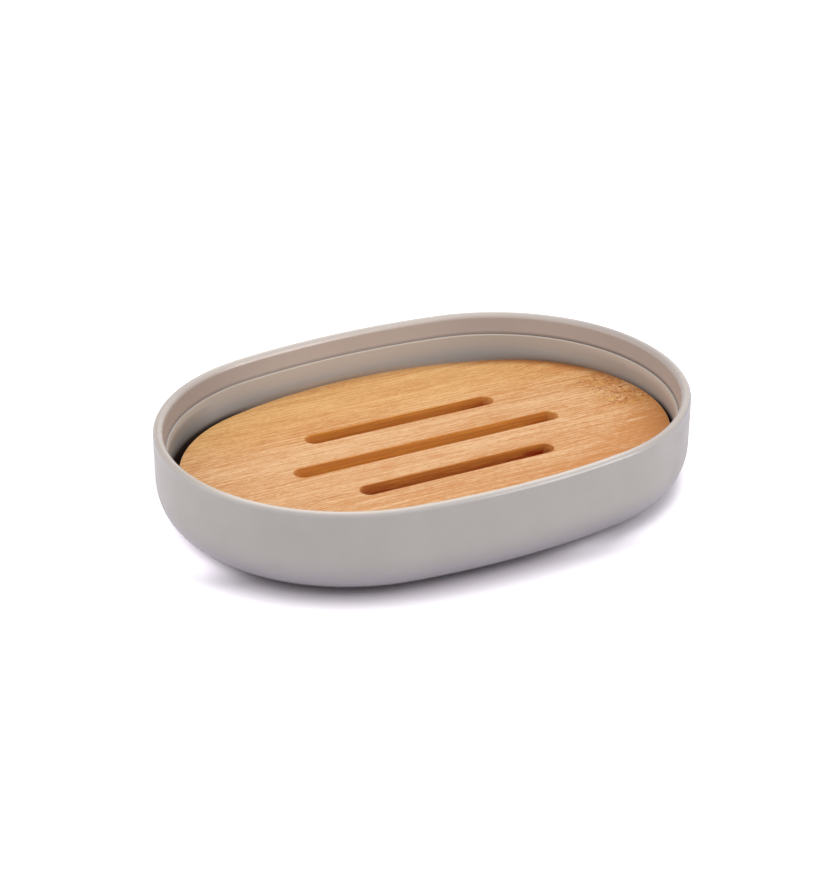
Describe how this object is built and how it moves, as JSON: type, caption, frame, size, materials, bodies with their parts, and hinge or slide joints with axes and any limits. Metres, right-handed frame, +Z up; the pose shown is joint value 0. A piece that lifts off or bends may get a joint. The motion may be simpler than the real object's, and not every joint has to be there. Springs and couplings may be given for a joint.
{
  "type": "soap dish",
  "caption": "Oval moulded soap dish with a rounded heel and a lift-out slotted bamboo insert set well below its rim.",
  "frame": {"origin": "middle of the foot, on the surface that the dish stands on", "axes": "+X along the dish, +Y across it towards the back, +Z up"},
  "size_m": [0.14, 0.1004, 0.0238],
  "materials": {
    "tray_moulding": "warm light grey, fine satin",
    "bamboo": "sanded, dry matt, straight fine grain"
  },
  "bodies": {
    "dish": {"tray": "tray_moulding"},
    "insert": {"bamboo_insert": "bamboo"}
  },
  "joints": [
    {"name": "insert_lift", "type": "slide", "parent": "dish", "child": "insert", "axis": [0, 0, 1], "range_m": [0, 0.02]}
  ]
}
